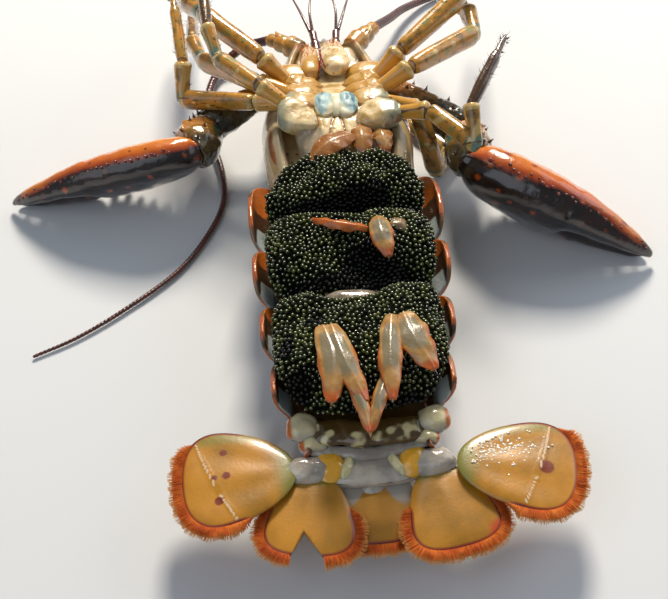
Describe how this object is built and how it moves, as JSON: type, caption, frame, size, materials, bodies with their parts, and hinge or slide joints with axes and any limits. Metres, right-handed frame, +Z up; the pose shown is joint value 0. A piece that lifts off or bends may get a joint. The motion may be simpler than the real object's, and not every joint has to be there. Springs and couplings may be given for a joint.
{
  "type": "american lobster",
  "caption": "Egg-bearing female American lobster lying on its back, claws and legs spread, eggs under the tail, tail fan open.",
  "frame": {"origin": "on the middle line of the flat of the carapace's back, at floor level, 30 mm ahead of the carapace's rear edge", "axes": "+Z up, the way the belly faces; +Y towards the head; +X towards the animal's left side"},
  "size_m": [0.3179, 0.3281, 0.0678],
  "materials": {
    "shell": "wet glossy shell, olive brown with orange",
    "claw_shell": "wet glossy claw shell, orange red over dark brown",
    "belly": "wet cream and tan underside plates",
    "leg_shell": "wet ochre leg shell with olive and dark spots",
    "receptacle": "pale blue horn",
    "eggs": "wet black green egg beads",
    "fan": "wet translucent amber fan plates with a red fringe",
    "membrane": "wet grey translucent joint skin",
    "leaf": "thin translucent tan swimmeret leaf",
    "whip": "dark maroon antenna",
    "eye": "glossy black eye"
  },
  "bodies": {
    "root": {"carapace": "shell", "sternum": "belly", "seminal_receptacle": "receptacle", "maxilliped_right": "belly", "maxilliped_left": "belly", "eye_right": "eye", "eye_left": "eye", "antennule_right": "whip", "antennule_left": "whip", "antenna_base_right": "leg_shell", "antenna_base_left": "leg_shell", "antenna_whip_right": "whip", "antenna_whip_left": "whip", "leg_2_right_upper": "leg_shell", "leg_2_right_lower": "leg_shell", "leg_3_right_upper": "leg_shell", "leg_3_right_lower": "leg_shell", "leg_4_right_upper": "leg_shell", "leg_4_right_lower": "leg_shell", "leg_5_right_upper": "leg_shell", "leg_5_right_lower": "leg_shell", "leg_2_left_upper": "leg_shell", "leg_2_left_lower": "leg_shell", "leg_3_left_upper": "leg_shell", "leg_3_left_lower": "leg_shell", "leg_4_left_upper": "leg_shell", "leg_4_left_lower": "leg_shell", "leg_5_left_upper": "leg_shell", "leg_5_left_lower": "leg_shell", "claw_right_arm": "shell", "claw_right_wrist": "shell", "claw_right_palm": "claw_shell", "claw_right_finger": "claw_shell", "claw_left_arm": "shell", "claw_left_wrist": "shell", "claw_left_palm": "claw_shell", "claw_left_finger": "claw_shell", "abdomen_1": "shell", "abdomen_2": "shell", "abdomen_3": "shell", "abdomen_4": "shell", "abdomen_5": "shell", "abdomen_6": "shell", "telson": "fan", "uropod_base_right": "membrane", "endopod_right": "fan", "exopod_right": "fan", "uropod_base_left": "membrane", "endopod_left": "fan", "exopod_left": "fan", "pleopod_front_right": "leaf", "pleopod_front_left": "leaf", "pleopod_middle": "leaf", "pleopod_rear_right": "leaf", "pleopod_rear_left": "leaf", "egg_mass_front": "eggs", "egg_mass_middle": "eggs", "egg_mass_rear": "eggs"}
  },
  "joints": []
}
